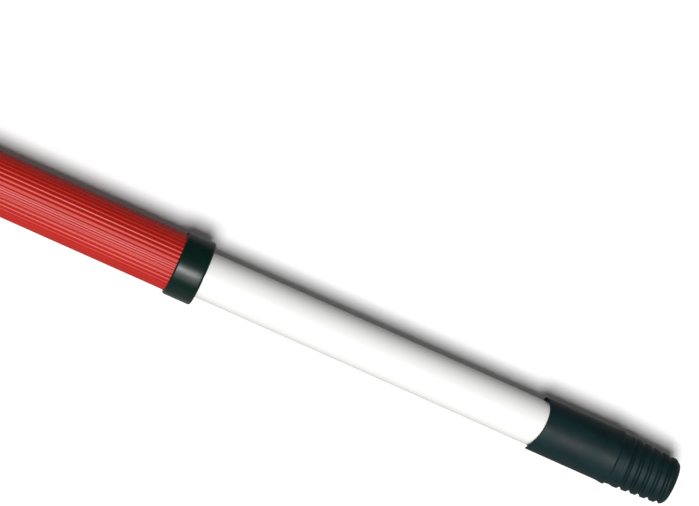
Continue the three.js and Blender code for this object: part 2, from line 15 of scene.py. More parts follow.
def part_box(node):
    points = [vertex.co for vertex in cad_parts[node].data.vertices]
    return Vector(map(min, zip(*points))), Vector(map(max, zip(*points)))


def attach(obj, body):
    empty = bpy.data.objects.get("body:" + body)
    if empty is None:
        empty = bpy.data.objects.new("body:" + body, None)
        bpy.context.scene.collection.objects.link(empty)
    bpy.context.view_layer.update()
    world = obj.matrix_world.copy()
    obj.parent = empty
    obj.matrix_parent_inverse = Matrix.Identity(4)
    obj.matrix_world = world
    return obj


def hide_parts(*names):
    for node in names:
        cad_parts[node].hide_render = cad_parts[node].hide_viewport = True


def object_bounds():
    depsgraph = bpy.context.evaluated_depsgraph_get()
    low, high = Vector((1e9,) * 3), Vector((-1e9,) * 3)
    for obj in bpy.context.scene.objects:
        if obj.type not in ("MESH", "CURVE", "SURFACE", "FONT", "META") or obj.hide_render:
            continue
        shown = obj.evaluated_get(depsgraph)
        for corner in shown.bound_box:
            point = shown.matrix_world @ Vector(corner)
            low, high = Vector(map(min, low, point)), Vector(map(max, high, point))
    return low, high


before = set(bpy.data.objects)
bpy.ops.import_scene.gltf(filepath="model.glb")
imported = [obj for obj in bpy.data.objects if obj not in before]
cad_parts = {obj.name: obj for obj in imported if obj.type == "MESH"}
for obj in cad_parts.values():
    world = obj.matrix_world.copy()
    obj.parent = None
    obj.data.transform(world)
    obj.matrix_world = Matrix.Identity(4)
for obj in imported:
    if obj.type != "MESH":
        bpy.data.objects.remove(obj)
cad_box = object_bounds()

bl_info = {
    "name": "Roller Extension Pole",
    "version": (1, 0, 0),
    "blender": (4, 5, 0),
    "location": "View3D > Sidebar > Roller Pole",
    "description": "Builds the fine pieces and the finishes of a telescopic roller extension pole",
    "category": "Add Mesh",
}

MM = 0.001

# Ends and radii that come from the frame
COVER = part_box("ribbed_cover")
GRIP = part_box("handle_grip")
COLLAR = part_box("collar")
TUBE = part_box("inner_tube")
OUTER_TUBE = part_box("outer_tube")
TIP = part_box("threaded_tip")
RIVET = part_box("tip_rivet")
SCREWS = [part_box("grip_screw_rear"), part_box("grip_screw_front")]

# Fasteners
SCREW_HEAD_HEIGHT = 1.2 * MM
SCREW_SHANK_RADIUS = 0.9 * MM
RIVET_HEAD_HEIGHT = 0.8 * MM
RIVET_SHANK_RADIUS = 1.5 * MM

# Clearances between pieces that fit over each other
BUTT_GAP = 0.3 * MM
PRESS_GAP = 0.2 * MM
SLIDE_GAP = 0.25 * MM

# Facets
ROUND = 128
FINE_ROUND = 160
SMALL_ROUND = 48
SCREW_ROUND = 40
POINTS_PER_RIB = 14
ARC_STEPS = 5
DOME_STEPS = 14
NOSE_STEPS = 15
COVER_STRIDE = 25 * MM
TUBE_STRIDE = 20 * MM
RING_STRIDE = 3 * MM
THREAD_STRIDE = 0.22 * MM
SAME_POINT = 1e-6
ON_AXIS = 1e-7


def linear(code):
    """Linear RGB of an sRGB hex colour such as c0392b."""
    values = [int(code[i : i + 2], 16) / 255 for i in (0, 2, 4)]
    return tuple(v / 12.92 if v <= 0.04045 else ((v + 0.055) / 1.055) ** 2.4 for v in values)


def along_pole(box):
    """Middle and half length of a box along the pole."""
    low, high = box
    return (low.x + high.x) / 2, (high.x - low.x) / 2


def length_property(name, description, millimetres):
    return FloatProperty(
        name=name, description=description, default=millimetres * MM, unit="LENGTH", precision=5
    )


def angle_property(name, description, degrees):
    return FloatProperty(
        name=name, description=description, default=math.radians(degrees), unit="ROTATION"
    )


def colour_property(name, description, code):
    return FloatVectorProperty(
        name=name, description=description, subtype="COLOR", size=3, min=0, max=1, default=linear(code)
    )


class CoverSettings(bpy.types.PropertyGroup):
    """Ribbed plastic cover of the outer tube"""

    ribs: IntProperty(name="Ribs", description="Ribs round the cover", default=40, min=3)
    rib_height: length_property("Rib height", "From the skin between ribs to a crest", 0.25)
    skin: length_property("Skin", "Wall between two ribs", 0.7)
    red: colour_property("Red", "Colour of the cover", "a61407")


class GripSettings(bpy.types.PropertyGroup):
    """Octagonal handle"""

    corner: length_property("Corner radius", "Rounding of the eight long edges", 1.6)
    butt_flat: length_property("Butt flat", "Radius of the flat middle of the butt", 8.5)
    butt_dome: length_property("Butt dome", "Depth of the domed butt", 5.5)
    mouth_scoop: length_property("Mouth scoop", "Radius of the curve of the mouth", 41)
    web: length_property("Web", "Wall between the hanging slot and the tube", 3.1)
    slot_start: length_property("Slot start", "Wall between the butt and the slot", 4)
    slot_length: length_property("Slot length", "Slot along the pole", 14.6)
    slot_width: length_property("Slot width", "Slot across the pole", 17)
    slot_corner: length_property("Slot corner", "Radius in the slot's corners", 3)
    ledge_length: length_property("Ledge length", "Closed part of the lower mouth", 6.5)
    ledge_height: length_property("Ledge height", "Ledge above the lower flat", 6.5)
    edge: length_property("Edge", "Rounding of the cut edges", 0.35)
    black: colour_property("Black", "Colour of the handle", "0f1b1a")


class CollarSettings(bpy.types.PropertyGroup):
    """Ring over the mouth of the outer tube"""

    lip: length_property("Lip", "Thickness of the front lip", 2.5)
    edge: length_property("Edge", "Rounding of the outer edges", 1.1)
    cover_inside: length_property("Cover inside", "Length of cover under the collar", 5.5)
    black: colour_property("Black", "Colour of the collar", "031813")


class TipSettings(bpy.types.PropertyGroup):
    """Threaded tip"""

    sleeve: length_property("Sleeve", "Length of the plain sleeve", 40.3)
    mouth_along: length_property("Mouth along", "Half axis of the mouth's curve along the pole", 5.5)
    mouth_across: length_property("Mouth across", "Half axis of the mouth's curve across it", 13.8)
    wall: length_property("Wall", "Wall of the sleeve", 1.6)
    flare_length: length_property("Flare length", "Length of the flare", 4)
    shoulder_edge: length_property("Shoulder edge", "Rounding of the shoulder", 0.7)
    tube_inside: length_property("Tube inside", "Length of tube in the sleeve", 38)
    relief: length_property("Relief", "Depth of the plain band before the thread", 0.45)
    relief_full: length_property("Relief full", "Length of the band at its full depth", 2.5)
    relief_end: length_property("Relief end", "From the shoulder to the end of the band", 4.7)
    taper: length_property("Taper", "Radius lost along the thread", 1.8)
    pitch: length_property("Pitch", "Thread pitch", 4.6)
    depth: length_property("Depth", "Depth of the thread's groove", 0.95)
    phase: length_property("Phase", "From the shoulder to a groove, on the +Y side", 0.6)
    root_wall: length_property("Root wall", "Wall under the roots of the thread", 3.2)
    nose_wall: length_property("Nose wall", "Wall behind the nose", 5)
    nose_rounding: length_property("Nose rounding", "Rounding of the nose", 3.5)
    land: FloatProperty(name="Land", description="Share of the pitch", default=0.45, min=0, max=1)
    flank: FloatProperty(name="Flank", description="Share of the pitch", default=0.22, min=0, max=1)
    black: colour_property("Black", "Colour of the tip", "05191b")


class TubeSettings(bpy.types.PropertyGroup):
    """Painted inner tube"""

    wall: length_property("Wall", "Wall of both tubes", 0.6)
    white: colour_property("White", "Colour of the paint", "dcdcda")


class StageSettings(bpy.types.PropertyGroup):
    """Floor, light and camera"""

    distance: FloatProperty(name="Distance", description="Camera to aim", default=2.4, unit="LENGTH")
    lens: FloatProperty(name="Lens", description="Focal length", default=269.52, unit="CAMERA")
    lean: angle_property("Lean", "From overhead to -Y", 15)
    recede: angle_property("Recede", "From square to the butt", 5.5)
    roll: angle_property("Roll", "Turn of the picture", 24.124)
    key: FloatProperty(name="Key", description="Power of the high softbox", default=4000, unit="POWER")
    side: FloatProperty(name="Side", description="Power of the low softbox", default=1875, unit="POWER")
    fill: FloatProperty(name="Fill", description="Strength of the sky", default=0.1)
    floor: colour_property("Floor", "Colour of the floor", "f9f9f9")
    bounce: FloatProperty(name="Bounce", description="Share of light that it sends up", default=0.4)


SETTINGS = {
    "pole_cover": CoverSettings,
    "pole_grip": GripSettings,
    "pole_collar": CollarSettings,
    "pole_tip": TipSettings,
    "pole_tube": TubeSettings,
    "pole_stage": StageSettings,
}


# Nodes and materials


def add(tree, kind, inputs=None, **settings):
    """Adds a node, sets its properties, and fills its inputs with values or from sockets."""
    node = tree.nodes.new(kind)
    for name, value in settings.items():
        setattr(node, name, value)
    for key, value in (inputs or {}).items():
        if isinstance(value, bpy.types.NodeSocket):
            tree.links.new(value, node.inputs[key])
        else:
            node.inputs[key].default_value = value
    return node


def new_material(name):
    """An empty material, its tree and its Object coordinates in metres."""
    material = bpy.data.materials.new(name)
    material.use_nodes = True
    tree = material.node_tree
    tree.nodes.clear()
    place = add(tree, "ShaderNodeTexCoord").outputs["Object"]
    return material, tree, place


def surface(tree, inputs):
    """Principled surface with the given inputs, joined to the output."""
    shader = add(tree, "ShaderNodeBsdfPrincipled", inputs)
    add(tree, "ShaderNodeOutputMaterial", {"Surface": shader.outputs["BSDF"]})


def noise(tree, place, size, stretch=1, detail=3, roughness=0.55):
    """Noise whose blotches are about size long across the pole and stretch times that along it."""
    scaled = add(
        tree,
        "ShaderNodeMapping",
        {"Vector": place, "Scale": (1 / (size * stretch), 1 / size, 1 / size)},
    ).outputs["Vector"]
    inputs = {"Vector": scaled, "Scale": 1, "Detail": detail, "Roughness": roughness}
    return add(tree, "ShaderNodeTexNoise", inputs).outputs["Fac"]


def spread(tree, value, low, high, start=0.3, end=0.7):
    """Maps noise values from start to end onto low to high."""
    inputs = {"Value": value, "From Min": start, "From Max": end, "To Min": low, "To Max": high}
    return add(tree, "ShaderNodeMapRange", inputs).outputs["Result"]


def shades(tree, factor, dark, light):
    """Colour between dark and light by the factor."""
    mix = add(tree, "ShaderNodeMix", data_type="RGBA")
    tree.links.new(factor, mix.inputs["Factor"])
    for socket, colour in zip([s for s in mix.inputs if s.type == "RGBA"], (dark, light)):
        socket.default_value = (*colour, 1)
    return next(s for s in mix.outputs if s.type == "RGBA")


def mottled(tree, pattern, dark, light):
    """Colour that drifts from dark to light with the pattern."""
    return shades(tree, spread(tree, pattern, 0, 1), dark, light)


def scaled_colour(colour, share):
    return tuple(min(1, value * share) for value in colour)


def bumped(tree, height, depth, under=None):
    """Normal of a relief that is depth deep where height goes from 0 to 1."""
    inputs = {"Height": height, "Distance": depth, "Strength": 1}
    if under:
        inputs["Normal"] = under
    return add(tree, "ShaderNodeBump", inputs).outputs["Normal"]


def extruded_red_pvc(red):
    """Soft gloss PVC, extruded: the die leaves fine streaks along the pole, and the gloss is broad."""
    material, tree, place = new_material("extruded_red_pvc")
    streaks = noise(tree, place, 0.35 * MM, stretch=300, detail=2)
    patches = noise(tree, place, 9 * MM, stretch=6)
    colour = mottled(tree, patches, scaled_colour(red, 0.92), scaled_colour(red, 1.06))
    inputs = {
        "Base Color": colour,
        "Roughness": spread(tree, streaks, 0.36, 0.48),
        "Specular IOR Level": 0.3,
        "Normal": bumped(tree, streaks, 0.012 * MM),
        "IOR": 1.53,
    }
    surface(tree, inputs)
    return material


def moulded_black_polypropylene(black):
    """Satin polypropylene, moulded: a spark-eroded grain breaks the gloss, and handling dulls it."""
    material, tree, place = new_material("moulded_black_polypropylene")
    grain = noise(tree, place, 0.35 * MM, detail=2)
    handling = noise(tree, place, 14 * MM, stretch=2.5)
    colour = mottled(tree, handling, black, scaled_colour(black, 1.5))
    inputs = {
        "Base Color": colour,
        "Roughness": spread(tree, handling, 0.4, 0.52),
        "Specular IOR Level": 0.22,
        "Normal": bumped(tree, grain, 0.018 * MM),
        "IOR": 1.49,
    }
    surface(tree, inputs)
    return material


def polished_black_abs(black):
    """Gloss ABS from a polished mould: clear reflections with a few soft rub marks round the ring."""
    material, tree, place = new_material("polished_black_abs")
    swirl = noise(tree, place, 4 * MM)
    rubs = noise(tree, place, 1.2 * MM, stretch=0.3)
    inputs = {
        "Base Color": mottled(tree, swirl, black, scaled_colour(black, 1.4)),
        "Roughness": spread(tree, rubs, 0.26, 0.36),
        "Specular IOR Level": 0.18,
        "Normal": bumped(tree, swirl, 0.01 * MM),
        "IOR": 1.54,
    }
    surface(tree, inputs)
    return material


def moulded_black_nylon(black):
    """Satin glass-filled nylon, moulded: a cloudy surface with fine grain and slight flow marks."""
    material, tree, place = new_material("moulded_black_nylon")
    grain = noise(tree, place, 0.4 * MM, detail=2)
    flow = noise(tree, place, 7 * MM, stretch=1.6)
    colour = mottled(tree, flow, black, scaled_colour(black, 1.7))
    inputs = {
        "Base Color": colour,
        "Roughness": spread(tree, flow, 0.5, 0.62),
        "Specular IOR Level": 0.16,
        "Normal": bumped(tree, grain, 0.02 * MM, bumped(tree, flow, 0.05 * MM)),
        "IOR": 1.53,
    }
    surface(tree, inputs)
    return material


def gloss_white_enamel(white):
    """Stoved white enamel on steel: bright gloss, faint orange peel and light rubs from sliding."""
    material, tree, place = new_material("gloss_white_enamel")
    peel = noise(tree, place, 2.2 * MM, detail=1)
    rubs = noise(tree, place, 0.6 * MM, stretch=120, detail=2)
    colour = shades(tree, spread(tree, rubs, 0, 1, 0.62, 0.8), white, scaled_colour(white, 0.93))
    inputs = {
        "Base Color": colour,
        "Roughness": spread(tree, rubs, 0.16, 0.3, 0.45, 0.8),
        "Normal": bumped(tree, peel, 0.012 * MM),
        "IOR": 1.5,
    }
    surface(tree, inputs)
    return material


def black_zinc_plate():
    """Zinc plate on steel, passivated black: dark, faintly bluish metal with a thin sheen."""
    material, tree, place = new_material("black_zinc_plate")
    clouds = noise(tree, place, 1.5 * MM)
    inputs = {
        "Base Color": mottled(tree, clouds, linear("202326"), linear("2f3234")),
        "Metallic": 1,
        "Roughness": spread(tree, clouds, 0.3, 0.42),
        "Normal": bumped(tree, clouds, 0.004 * MM),
    }
    surface(tree, inputs)
    return material


def bright_zinc_plate():
    """Zinc plate on steel: cool metal with a faintly cloudy, yellow-blue passivated film."""
    material, tree, place = new_material("bright_zinc_plate")
    clouds = noise(tree, place, 1.5 * MM)
    fine = noise(tree, place, 0.2 * MM)
    inputs = {
        "Base Color": mottled(tree, clouds, linear("b9bcc4"), linear("c9c6b6")),
        "Metallic": 1,
        "Roughness": spread(tree, fine, 0.22, 0.4),
        "Normal": bumped(tree, fine, 0.004 * MM),
    }
    surface(tree, inputs)
    return material


def drawn_galvanised_steel():
    """Galvanised tube, drawn through a die: dull grey zinc with lines along the tube."""
    material, tree, place = new_material("drawn_galvanised_steel")
    lines = noise(tree, place, 0.25 * MM, stretch=200)
    spangle = noise(tree, place, 5 * MM, detail=1)
    inputs = {
        "Base Color": mottled(tree, spangle, linear("9da0a3"), linear("bcbfc1")),
        "Metallic": 1,
        "Roughness": spread(tree, lines, 0.3, 0.48),
        "Normal": bumped(tree, lines, 0.008 * MM),
    }
    surface(tree, inputs)
    return material


def moulded_plain_nylon(name, dark, light):
    """Unfilled nylon, moulded: waxy, slightly see-through and a little cloudy."""
    material, tree, place = new_material(name)
    glow = (1.2 * MM, 1 * MM, 0.8 * MM)  # how far red, green and blue light goes in
    clouds = noise(tree, place, 3 * MM)
    inputs = {
        "Base Color": mottled(tree, clouds, linear(dark), linear(light)),
        "Roughness": spread(tree, clouds, 0.38, 0.5),
        "Subsurface Weight": 0.15,
        "Subsurface Radius": glow,
        "Subsurface Scale": 1,
        "Normal": bumped(tree, clouds, 0.02 * MM),
        "IOR": 1.53,
    }
    surface(tree, inputs)
    return material


def nitrile_rubber():
    """Moulded nitrile O-ring: matte black with a dusty bloom."""
    material, tree, place = new_material("nitrile_rubber")
    bloom = noise(tree, place, 1.5 * MM)
    inputs = {
        "Base Color": mottled(tree, bloom, linear("141414"), linear("262626")),
        "Roughness": spread(tree, bloom, 0.65, 0.85),
        "Normal": bumped(tree, bloom, 0.01 * MM),
        "IOR": 1.52,
    }
    surface(tree, inputs)
    return material


# Meshes


def placed(name, data):
    """A new object of the data, put in the scene."""
    thing = bpy.data.objects.new(name, data)
    bpy.context.scene.collection.objects.link(thing)
    return thing


def new_piece(name, vertices, faces):
    """A closed mesh object whose faces point outwards, smooth between its sharp edges."""
    mesh = bpy.data.meshes.new(name)
    mesh.from_pydata(vertices, [], faces)
    piece = placed(name, mesh)
    tidy_mesh(mesh)
    return piece


def tidy_mesh(mesh, sharp=math.radians(40)):
    """Merges doubles, turns the faces outwards, and keeps only real edges sharp."""
    edit = bmesh.new()
    edit.from_mesh(mesh)
    bmesh.ops.remove_doubles(edit, verts=edit.verts, dist=SAME_POINT)
    bmesh.ops.recalc_face_normals(edit, faces=edit.faces)
    edit.to_mesh(mesh)
    edit.free()
    mesh.shade_smooth()
    mesh.set_sharp_from_angle(angle=sharp)


def filleted(corners):
    """Points of an outline through corners (x, radius, rounding), each rounded by an arc."""
    points = []
    count = len(corners)
    for i, (x, radius, rounding) in enumerate(corners):
        here = Vector((x, radius))
        if not rounding:
            points.append(here)
            continue
        before = (Vector(corners[i - 1][:2]) - here).normalized()
        after = (Vector(corners[(i + 1) % count][:2]) - here).normalized()
        half = before.angle(after) / 2
        centre = here + (before + after).normalized() * rounding / math.sin(half)
        start = here + before * rounding / math.tan(half) - centre
        end = here + after * rounding / math.tan(half) - centre
        arc = [start.slerp(end, step / ARC_STEPS) for step in range(ARC_STEPS + 1)]
        points += [centre + rounding * direction for direction in arc]
    return points


def stepped(points, stride, closed=True):
    """The same outline with extra points, so that no step is longer than the stride."""
    dense = []
    following = points[1:] + points[:1] if closed else points[1:]
    for one, two in zip(points, following):
        steps = max(1, math.ceil((two - one).length / stride))
        dense += [one.lerp(two, step / steps) for step in range(steps)]
    return dense if closed else dense + [points[-1]]


def turned(name, outline, around=ROUND):
    """Outline of (x, radius) turned round the pole's axis. A point on the axis is a pole."""
    vertices, rings, faces = [], [], []
    for x, radius in outline:
        count = around if radius > ON_AXIS else 1
        rings.append([len(vertices) + i for i in range(count)])
        for i in range(count):
            angle = 2 * math.pi * i / around
            vertices.append((x, radius * math.cos(angle), radius * math.sin(angle)))
    for one, two in zip(rings, rings[1:] + rings[:1]):
        if len(one) == len(two) == 1:
            continue
        for i in range(around):
            j = i + 1
            corners = [one[i % len(one)], one[j % len(one)], two[j % len(two)], two[i % len(two)]]
            faces.append(list(dict.fromkeys(corners)))
    return new_piece(name, vertices, faces)


def rod(name, start, end, radius, around=SMALL_ROUND):
    """A plain rod between two points, for cutting holes."""
    axis = end - start
    turn = axis.to_track_quat("X", "Z").to_matrix().to_4x4()
    outline = [(0, 0), (0, radius), (axis.length, radius), (axis.length, 0)]
    piece = turned(name, [Vector(point) for point in outline], around)
    piece.data.transform(Matrix.Translation(start) @ turn)
    return piece


def applied(piece):
    """Replaces the piece's mesh by what its modifiers make of it, and removes them."""
    graph = bpy.context.evaluated_depsgraph_get()
    mesh = bpy.data.meshes.new_from_object(piece.evaluated_get(graph), depsgraph=graph)
    plain = piece.data
    piece.modifiers.clear()
    piece.data = mesh
    bpy.data.meshes.remove(plain)
    mesh.name = piece.name
    return piece


def carve(piece, *cutters):
    """Cuts the cutters out of the piece and removes them."""
    for cutter in cutters:
        cut = piece.modifiers.new("cut", "BOOLEAN")
        cut.operation = "DIFFERENCE"
        cut.solver = "MANIFOLD"
        cut.object = cutter
        applied(piece)
        bpy.data.meshes.remove(cutter.data)
    return piece


def scoop(y, along, across, half_width):
    """How far a mouth, scooped by an elliptical cylinder along Z, lies back from its lobes at y."""
    here = math.sqrt(max(0, 1 - (y / across) ** 2))
    at_lobes = math.sqrt(1 - (half_width / across) ** 2)
    return along * (here - at_lobes)


def finished(piece, material, body, slot, *nodes):
    """Gives the piece its material and ties it to the frame."""
    piece.data.materials.clear()
    piece.data.materials.append(material)
    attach(piece, body)
    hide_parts(*nodes)
    return piece


# Geometry Nodes


def new_tree(name, sizes):
    """A Geometry Nodes tree with a geometry, a material and the named sizes as inputs."""
    tree = bpy.data.node_groups.new(name, "GeometryNodeTree")
    tree.interface.new_socket("Geometry", in_out="INPUT", socket_type="NodeSocketGeometry")
    for size, default in sizes.items():
        kind = "NodeSocketInt" if isinstance(default, int) else "NodeSocketFloat"
        tree.interface.new_socket(size, in_out="INPUT", socket_type=kind).default_value = default
    tree.interface.new_socket("Material", in_out="INPUT", socket_type="NodeSocketMaterial")
    tree.interface.new_socket("Geometry", in_out="OUTPUT", socket_type="NodeSocketGeometry")
    return tree, add(tree, "NodeGroupInput").outputs


def close_tree(tree, geometry, given):
    """Ends the tree: instances made real, the material set, and the result put out."""
    real = add(tree, "GeometryNodeRealizeInstances", {"Geometry": geometry}).outputs["Geometry"]
    inputs = {"Geometry": real, "Material": given["Material"]}
    painted = add(tree, "GeometryNodeSetMaterial", inputs).outputs["Geometry"]
    add(tree, "NodeGroupOutput", {"Geometry": painted})


def maths(tree, operation, *values, **settings):
    """Result of a Math node on values or sockets."""
    node = add(tree, "ShaderNodeMath", dict(enumerate(values)), operation=operation, **settings)
    return node.outputs["Value"]


def ramp(tree, value, start, end, low=0.0, high=1.0):
    """Smooth step from low to high as the value goes from start to end."""
    inputs = {"Value": value, "From Min": start, "From Max": end, "To Min": low, "To Max": high}
    node = add(tree, "ShaderNodeMapRange", inputs, interpolation_type="SMOOTHSTEP")
    return node.outputs["Result"]


def polar(tree):
    """Station along the pole, radius, angle in turns and outward direction of each point."""
    place = add(tree, "GeometryNodeInputPosition").outputs["Position"]
    parts = add(tree, "ShaderNodeSeparateXYZ", {"Vector": place}).outputs
    across = add(tree, "ShaderNodeCombineXYZ", {"Y": parts["Y"], "Z": parts["Z"]}).outputs["Vector"]
    radius = add(tree, "ShaderNodeVectorMath", {0: across}, operation="LENGTH").outputs["Value"]
    outward = add(tree, "ShaderNodeVectorMath", {0: across}, operation="NORMALIZE").outputs["Vector"]
    turns = maths(tree, "DIVIDE", maths(tree, "ARCTAN2", parts["Z"], parts["Y"]), 2 * math.pi)
    return parts["X"], radius, turns, outward


def push(tree, geometry, selection, outward, distance):
    """Moves the selected points outwards by the distance."""
    offset = add(
        tree, "ShaderNodeVectorMath", {0: outward, "Scale": distance}, operation="SCALE"
    ).outputs["Vector"]
    inputs = {"Geometry": geometry, "Selection": selection, "Offset": offset}
    return add(tree, "GeometryNodeSetPosition", inputs).outputs["Geometry"]


def ribs_tree():
    """Raises rounded lengthwise ribs on the outside of a turned skin."""
    tree, given = new_tree("Ribs", {"Count": 40, "Height": 0.25 * MM, "Skin radius": 13 * MM})
    _, radius, turns, outward = polar(tree)
    full_turns = maths(tree, "MULTIPLY", given["Count"], 2 * math.pi)
    wave = maths(tree, "COSINE", maths(tree, "MULTIPLY", turns, full_turns))
    crown_share = 0.18  # of the rib's height; its flanks make the rest
    foot, shoulder = -0.75, 0.6  # of the cosine, where a flank starts and ends
    flanks = ramp(tree, wave, foot, shoulder, 0.0, 1 - crown_share)
    crown = maths(tree, "MULTIPLY_ADD", wave, crown_share / 2, crown_share / 2)
    height = maths(tree, "MULTIPLY", maths(tree, "ADD", flanks, crown), given["Height"])
    outside = maths(tree, "GREATER_THAN", radius, given["Skin radius"])
    close_tree(tree, push(tree, given["Geometry"], outside, outward, height), given)
    return tree


def thread_tree():
    """Sinks a right-handed helical groove, which fades in after a plain start and out at the nose."""
    sizes = {
        "Start": 0.77,
        "Length": 29.7 * MM,
        "Pitch": 4.6 * MM,
        "Depth": 0.95 * MM,
        "Phase": 0.6 * MM,
        "Plain start": 4.7 * MM,
        "Nose rounding": 3.5 * MM,
        "Land": 0.45,
        "Flank": 0.22,
        "Core radius": 9 * MM,
    }
    tree, given = new_tree("Thread", sizes)
    station, radius, turns, outward = polar(tree)
    along = maths(tree, "SUBTRACT", station, given["Start"])
    pitches = maths(tree, "DIVIDE", maths(tree, "SUBTRACT", along, given["Phase"]), given["Pitch"])
    share = maths(tree, "FLOORED_MODULO", maths(tree, "SUBTRACT", pitches, turns), 1.0)
    from_land = maths(tree, "ABSOLUTE", maths(tree, "SUBTRACT", share, 0.5))
    half_land = maths(tree, "MULTIPLY", given["Land"], 0.5)
    groove = ramp(tree, from_land, half_land, maths(tree, "ADD", half_land, given["Flank"]))
    half_pitch = maths(tree, "MULTIPLY", given["Pitch"], 0.5)
    fade_in = ramp(tree, along, given["Plain start"], maths(tree, "ADD", given["Plain start"], half_pitch))
    nose = maths(tree, "SUBTRACT", given["Length"], given["Nose rounding"])
    fade_out = ramp(tree, along, nose, given["Length"], 1.0, 0.0)
    depth = maths(tree, "MULTIPLY", groove, given["Depth"])
    fade = maths(tree, "MULTIPLY", fade_in, fade_out)
    sunk = maths(tree, "MULTIPLY", maths(tree, "MULTIPLY", depth, -1.0), fade)
    outside = maths(tree, "GREATER_THAN", radius, given["Core radius"])
    threaded = maths(tree, "MULTIPLY", outside, maths(tree, "GREATER_THAN", along, 0.0))
    close_tree(tree, push(tree, given["Geometry"], threaded, outward, sunk), given)
    return tree


def screws_tree():
    """Sets copies of one screw in a row along the pole."""
    sizes = {"Count": 2, "First": 28 * MM, "Spacing": 57 * MM, "Height": 15 * MM}
    tree, given = new_tree("Screws", sizes)
    start = add(tree, "ShaderNodeCombineXYZ", {"X": given["First"], "Z": given["Height"]})
    first = start.outputs["Vector"]
    spacing = add(tree, "ShaderNodeCombineXYZ", {"X": given["Spacing"]}).outputs["Vector"]
    inputs = {"Count": given["Count"], "Start Location": first, "Offset": spacing}
    row = add(tree, "GeometryNodeMeshLine", inputs, mode="OFFSET").outputs["Mesh"]
    inputs = {"Points": row, "Instance": given["Geometry"]}
    close_tree(tree, add(tree, "GeometryNodeInstanceOnPoints", inputs).outputs["Instances"], given)
    return tree


def grown(piece, tree, material, sizes):
    """Runs the tree on the piece with these sizes and keeps the result as its plain mesh."""
    modifier = piece.modifiers.new(tree.name, "NODES")
    modifier.node_group = tree
    for item in tree.interface.items_tree:
        if item.in_out == "INPUT" and item.name in sizes:
            modifier[item.identifier] = sizes[item.name]
        if item.in_out == "INPUT" and item.name == "Material":
            modifier[item.identifier] = material
    applied(piece)
    tidy_mesh(piece.data)
    return piece


# Operators


class MakeCover(bpy.types.Operator):
    """Makes the ribbed plastic cover of the outer tube"""

    bl_idname = "roller_pole.cover"
    bl_label = "Ribbed cover"

    def execute(self, context):
        sizes = context.scene.pole_cover
        start, end = COVER[0].x, COVER[1].x
        skin = COVER[1].y - sizes.rib_height
        bore = skin - sizes.skin
        edge = sizes.skin / 4
        corners = [(start, bore, edge), (start, skin, edge), (end, skin, edge), (end, bore, edge)]
        outline = stepped(filleted(corners), COVER_STRIDE)
        cover = turned("ribbed_cover_skin", outline, sizes.ribs * POINTS_PER_RIB)
        material = extruded_red_pvc(sizes.red)
        values = {"Count": sizes.ribs, "Height": sizes.rib_height, "Skin radius": (skin + bore) / 2}
        grown(cover, ribs_tree(), material, values)
        finished(cover, material, "outer_section", "red_cover", "ribbed_cover")
        return {"FINISHED"}


def octagon(half_flats, corner, flat_steps=10, corner_steps=6):
    """Unit directions and distances of the points round an octagon with rounded corners."""
    points = []
    middle = (half_flats - corner) / math.cos(math.pi / 8)
    for side in range(8):
        centre_angle = (side + 0.5) * math.pi / 4
        centre = Vector((math.cos(centre_angle), math.sin(centre_angle))) * middle
        for step in range(corner_steps + 1):
            angle = centre_angle + math.pi / 4 * (step / corner_steps - 0.5)
            points.append(centre + corner * Vector((math.cos(angle), math.sin(angle))))
        next_angle = centre_angle + math.pi / 4
        next_centre = Vector((math.cos(next_angle), math.sin(next_angle))) * middle
        angle = centre_angle + math.pi / 8
        flat_end = next_centre + corner * Vector((math.cos(angle), math.sin(angle)))
        points += [points[-1].lerp(flat_end, step / flat_steps) for step in range(1, flat_steps)]
    return points


def soft_minimum(one, two, blend):
    """The smaller of two lengths, rounded off where they meet."""
    return -blend * math.log(math.exp(-one / blend) + math.exp(-two / blend))


def slot_cutter(name, sizes, start, end, bottom, top):
    """Prism with rounded corners, upright, for cutting the hanging slot."""
    half = sizes.slot_width / 2
    corner = sizes.slot_corner
    corners = [(start, -half), (start, half), (end, half), (end, -half)]
    outline = filleted([(x, y, corner) for x, y in corners])
    count = len(outline)
    vertices = [(x, y, z) for z in (bottom, top) for x, y in outline]
    faces = [[i, (i + 1) % count, (i + 1) % count + count, i + count] for i in range(count)]
    faces += [list(range(count)), list(range(count, 2 * count))]
    return new_piece(name, vertices, faces)


